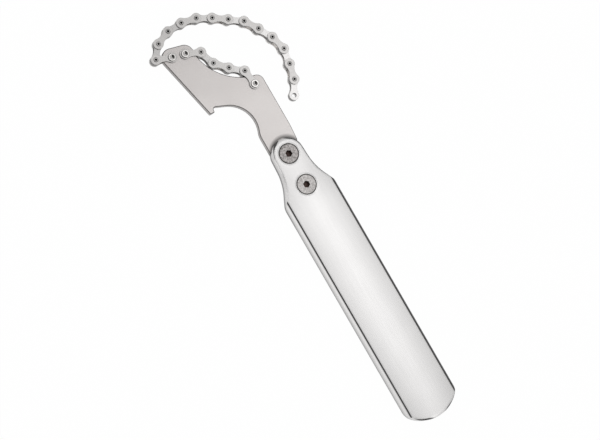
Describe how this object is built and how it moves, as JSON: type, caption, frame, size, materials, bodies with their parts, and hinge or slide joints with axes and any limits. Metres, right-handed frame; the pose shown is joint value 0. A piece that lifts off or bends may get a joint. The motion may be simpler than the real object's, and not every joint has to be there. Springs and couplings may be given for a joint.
{
  "type": "bicycle chain whip",
  "caption": "Flat steel sprocket whip with a free roller chain, a short fixed chain and a lockring hook, clamped in a broad aluminium handle.",
  "frame": {"origin": "on the back face, on the axis of the front clamp screw", "axes": "+X from the handle towards the head, +Z out of the front face"},
  "size_m": [0.3663, 0.1027, 0.0127],
  "materials": {
    "handle_aluminium": "polished and clear anodised",
    "plate_steel": "fine satin, nickel plated",
    "screw_steel": "turned steel",
    "rivet_steel": "bright, peened",
    "chain_outer_steel": "nickel plated",
    "chain_inner_steel": "nickel plated",
    "pin_steel": "bright, peened ends",
    "roller_steel": "smooth turned"
  },
  "bodies": {
    "tool": {"handle": "handle_aluminium", "head_plate": "plate_steel", "clamp_screw_front": "screw_steel", "clamp_screw_rear": "screw_steel", "rivet_free_chain": "rivet_steel", "rivet_short_chain_front": "rivet_steel", "rivet_short_chain_rear": "rivet_steel"},
    "free_link_01": {"free_link_01_plates": "chain_outer_steel", "free_link_01_pins": "pin_steel"},
    "free_link_02": {"free_link_02_plates": "chain_inner_steel"},
    "free_link_03": {"free_link_03_plates": "chain_outer_steel", "free_link_03_pins": "pin_steel"},
    "free_link_04": {"free_link_04_plates": "chain_inner_steel"},
    "free_link_05": {"free_link_05_plates": "chain_outer_steel", "free_link_05_pins": "pin_steel"},
    "free_link_06": {"free_link_06_plates": "chain_inner_steel"},
    "free_link_07": {"free_link_07_plates": "chain_outer_steel", "free_link_07_pins": "pin_steel"},
    "free_link_08": {"free_link_08_plates": "chain_inner_steel"},
    "free_link_09": {"free_link_09_plates": "chain_outer_steel", "free_link_09_pins": "pin_steel"},
    "free_link_10": {"free_link_10_plates": "chain_inner_steel"},
    "free_link_11": {"free_link_11_plates": "chain_outer_steel", "free_link_11_pins": "pin_steel"},
    "free_link_12": {"free_link_12_plates": "chain_inner_steel"},
    "free_link_13": {"free_link_13_plates": "chain_outer_steel", "free_link_13_pins": "pin_steel"},
    "free_link_14": {"free_link_14_plates": "chain_inner_steel"},
    "free_roller_01": {"free_roller_01": "roller_steel"},
    "free_roller_02": {"free_roller_02": "roller_steel"},
    "free_roller_03": {"free_roller_03": "roller_steel"},
    "free_roller_04": {"free_roller_04": "roller_steel"},
    "free_roller_05": {"free_roller_05": "roller_steel"},
    "free_roller_06": {"free_roller_06": "roller_steel"},
    "free_roller_07": {"free_roller_07": "roller_steel"},
    "free_roller_08": {"free_roller_08": "roller_steel"},
    "free_roller_09": {"free_roller_09": "roller_steel"},
    "free_roller_10": {"free_roller_10": "roller_steel"},
    "free_roller_11": {"free_roller_11": "roller_steel"},
    "free_roller_12": {"free_roller_12": "roller_steel"},
    "free_roller_13": {"free_roller_13": "roller_steel"},
    "free_roller_14": {"free_roller_14": "roller_steel"},
    "short_link_1": {"short_link_1_plates": "chain_outer_steel", "short_link_1_pins": "pin_steel"},
    "short_link_2": {"short_link_2_plates": "chain_inner_steel"},
    "short_link_3": {"short_link_3_plates": "chain_outer_steel", "short_link_3_pins": "pin_steel"},
    "short_link_4": {"short_link_4_plates": "chain_inner_steel"},
    "short_link_5": {"short_link_5_plates": "chain_outer_steel", "short_link_5_pins": "pin_steel"},
    "short_roller_1": {"short_roller_1": "roller_steel"},
    "short_roller_2": {"short_roller_2": "roller_steel"},
    "short_roller_3": {"short_roller_3": "roller_steel"},
    "short_roller_4": {"short_roller_4": "roller_steel"}
  },
  "joints": [
    {"name": "free_joint_01", "type": "hinge", "parent": "tool", "child": "free_link_01", "pos_m": [0.1086, 0.0416, 0.0025], "axis": [0, 0, -1], "range_deg": [-50, 5]},
    {"name": "free_joint_02", "type": "hinge", "parent": "free_link_01", "child": "free_link_02", "pos_m": [0.11271, 0.05362, 0.0025], "axis": [0, 0, -1], "range_deg": [-125, 5]},
    {"name": "free_joint_03", "type": "hinge", "parent": "free_link_02", "child": "free_link_03", "pos_m": [0.12254, 0.04557, 0.0025], "axis": [0, 0, 1], "range_deg": [-5, 47.1]},
    {"name": "free_joint_04", "type": "hinge", "parent": "free_link_03", "child": "free_link_04", "pos_m": [0.12763, 0.03393, 0.0025], "axis": [0, 0, 1], "range_deg": [-5, 38.7]},
    {"name": "free_joint_05", "type": "hinge", "parent": "free_link_04", "child": "free_link_05", "pos_m": [0.12871, 0.02128, 0.0025], "axis": [0, 0, 1], "range_deg": [-5, 34.6]},
    {"name": "free_joint_06", "type": "hinge", "parent": "free_link_05", "child": "free_link_06", "pos_m": [0.12657, 0.00876, 0.0025], "axis": [0, 0, 1], "range_deg": [-5, 36.7]},
    {"name": "free_joint_07", "type": "hinge", "parent": "free_link_06", "child": "free_link_07", "pos_m": [0.12092, -0.00261, 0.0025], "axis": [0, 0, 1], "range_deg": [-5, 26]},
    {"name": "free_joint_08", "type": "hinge", "parent": "free_link_07", "child": "free_link_08", "pos_m": [0.11412, -0.01334, 0.0025], "axis": [0, 0, 1], "range_deg": [-6, 21.2]},
    {"name": "free_joint_09", "type": "hinge", "parent": "free_link_08", "child": "free_link_09", "pos_m": [0.10709, -0.02392, 0.0025], "axis": [0, 0, 1], "range_deg": [-7, 41.9]},
    {"name": "free_joint_10", "type": "hinge", "parent": "free_link_09", "child": "free_link_10", "pos_m": [0.09662, -0.03111, 0.0025], "axis": [0, 0, 1], "range_deg": [-9, 24.2]},
    {"name": "free_joint_11", "type": "hinge", "parent": "free_link_10", "child": "free_link_11", "pos_m": [0.08566, -0.03752, 0.0025], "axis": [0, 0, 1], "range_deg": [-11, 34.5]},
    {"name": "free_joint_12", "type": "hinge", "parent": "free_link_11", "child": "free_link_12", "pos_m": [0.07344, -0.04097, 0.0025], "axis": [0, 0, 1], "range_deg": [-15, 45.4]},
    {"name": "free_joint_13", "type": "hinge", "parent": "free_link_12", "child": "free_link_13", "pos_m": [0.06092, -0.03886, 0.0025], "axis": [0, 0, 1], "range_deg": [-28, 24.2]},
    {"name": "free_joint_14", "type": "hinge", "parent": "free_link_13", "child": "free_link_14", "pos_m": [0.04858, -0.03583, 0.0025], "axis": [0, 0, 1], "range_deg": [-100, 36.9]},
    {"name": "free_roller_01_spin", "type": "hinge", "parent": "free_link_02", "child": "free_roller_01", "pos_m": [0.11271, 0.05362, 0.0025], "axis": [0, 0, 1], "continuous": true},
    {"name": "free_roller_02_spin", "type": "hinge", "parent": "free_link_02", "child": "free_roller_02", "pos_m": [0.12254, 0.04557, 0.0025], "axis": [0, 0, 1], "continuous": true},
    {"name": "free_roller_03_spin", "type": "hinge", "parent": "free_link_04", "child": "free_roller_03", "pos_m": [0.12763, 0.03393, 0.0025], "axis": [0, 0, 1], "continuous": true},
    {"name": "free_roller_04_spin", "type": "hinge", "parent": "free_link_04", "child": "free_roller_04", "pos_m": [0.12871, 0.02128, 0.0025], "axis": [0, 0, 1], "continuous": true},
    {"name": "free_roller_05_spin", "type": "hinge", "parent": "free_link_06", "child": "free_roller_05", "pos_m": [0.12657, 0.00876, 0.0025], "axis": [0, 0, 1], "continuous": true},
    {"name": "free_roller_06_spin", "type": "hinge", "parent": "free_link_06", "child": "free_roller_06", "pos_m": [0.12092, -0.00261, 0.0025], "axis": [0, 0, 1], "continuous": true},
    {"name": "free_roller_07_spin", "type": "hinge", "parent": "free_link_08", "child": "free_roller_07", "pos_m": [0.11412, -0.01334, 0.0025], "axis": [0, 0, 1], "continuous": true},
    {"name": "free_roller_08_spin", "type": "hinge", "parent": "free_link_08", "child": "free_roller_08", "pos_m": [0.10709, -0.02392, 0.0025], "axis": [0, 0, 1], "continuous": true},
    {"name": "free_roller_09_spin", "type": "hinge", "parent": "free_link_10", "child": "free_roller_09", "pos_m": [0.09662, -0.03111, 0.0025], "axis": [0, 0, 1], "continuous": true},
    {"name": "free_roller_10_spin", "type": "hinge", "parent": "free_link_10", "child": "free_roller_10", "pos_m": [0.08566, -0.03752, 0.0025], "axis": [0, 0, 1], "continuous": true},
    {"name": "free_roller_11_spin", "type": "hinge", "parent": "free_link_12", "child": "free_roller_11", "pos_m": [0.07344, -0.04097, 0.0025], "axis": [0, 0, 1], "continuous": true},
    {"name": "free_roller_12_spin", "type": "hinge", "parent": "free_link_12", "child": "free_roller_12", "pos_m": [0.06092, -0.03886, 0.0025], "axis": [0, 0, 1], "continuous": true},
    {"name": "free_roller_13_spin", "type": "hinge", "parent": "free_link_14", "child": "free_roller_13", "pos_m": [0.04858, -0.03583, 0.0025], "axis": [0, 0, 1], "continuous": true},
    {"name": "free_roller_14_spin", "type": "hinge", "parent": "free_link_14", "child": "free_roller_14", "pos_m": [0.03766, -0.02934, 0.0025], "axis": [0, 0, 1], "continuous": true},
    {"name": "short_joint_1", "type": "hinge", "parent": "tool", "child": "short_link_1", "pos_m": [0.1062, 0.031, 0.0025], "axis": [0, 0, 1], "range_deg": [-0.3, 5.14]},
    {"name": "short_joint_2", "type": "hinge", "parent": "short_link_1", "child": "short_link_2", "pos_m": [0.10163, 0.01915, 0.0025], "axis": [0, 0, 1], "range_deg": [-0.26, 4.16]},
    {"name": "short_joint_3", "type": "hinge", "parent": "short_link_2", "child": "short_link_3", "pos_m": [0.08963, 0.01497, 0.0025], "axis": [0, 0, -1], "range_deg": [-0.5, 10]},
    {"name": "short_joint_4", "type": "hinge", "parent": "short_link_3", "child": "short_link_4", "pos_m": [0.08075, 0.0059, 0.0025], "axis": [0, 0, -1], "range_deg": [-0.43, 7.59]},
    {"name": "short_joint_5", "type": "hinge", "parent": "short_link_4", "child": "short_link_5", "pos_m": [0.07284, -0.00404, 0.0025], "axis": [0, 0, 1], "range_deg": [-0.23, 3.58]},
    {"name": "short_roller_1_spin", "type": "hinge", "parent": "short_link_2", "child": "short_roller_1", "pos_m": [0.10163, 0.01915, 0.0025], "axis": [0, 0, 1], "continuous": true},
    {"name": "short_roller_2_spin", "type": "hinge", "parent": "short_link_2", "child": "short_roller_2", "pos_m": [0.08963, 0.01497, 0.0025], "axis": [0, 0, 1], "continuous": true},
    {"name": "short_roller_3_spin", "type": "hinge", "parent": "short_link_4", "child": "short_roller_3", "pos_m": [0.08075, 0.0059, 0.0025], "axis": [0, 0, 1], "continuous": true},
    {"name": "short_roller_4_spin", "type": "hinge", "parent": "short_link_4", "child": "short_roller_4", "pos_m": [0.07284, -0.00404, 0.0025], "axis": [0, 0, 1], "continuous": true}
  ],
  "couplings": [
    {"joint": "short_joint_1", "follows": "short_joint_3", "ratio": 0.509},
    {"joint": "short_joint_2", "follows": "short_joint_3", "ratio": 0.4107},
    {"joint": "short_joint_4", "follows": "short_joint_3", "ratio": 0.754},
    {"joint": "short_joint_5", "follows": "short_joint_3", "ratio": 0.3535}
  ]
}
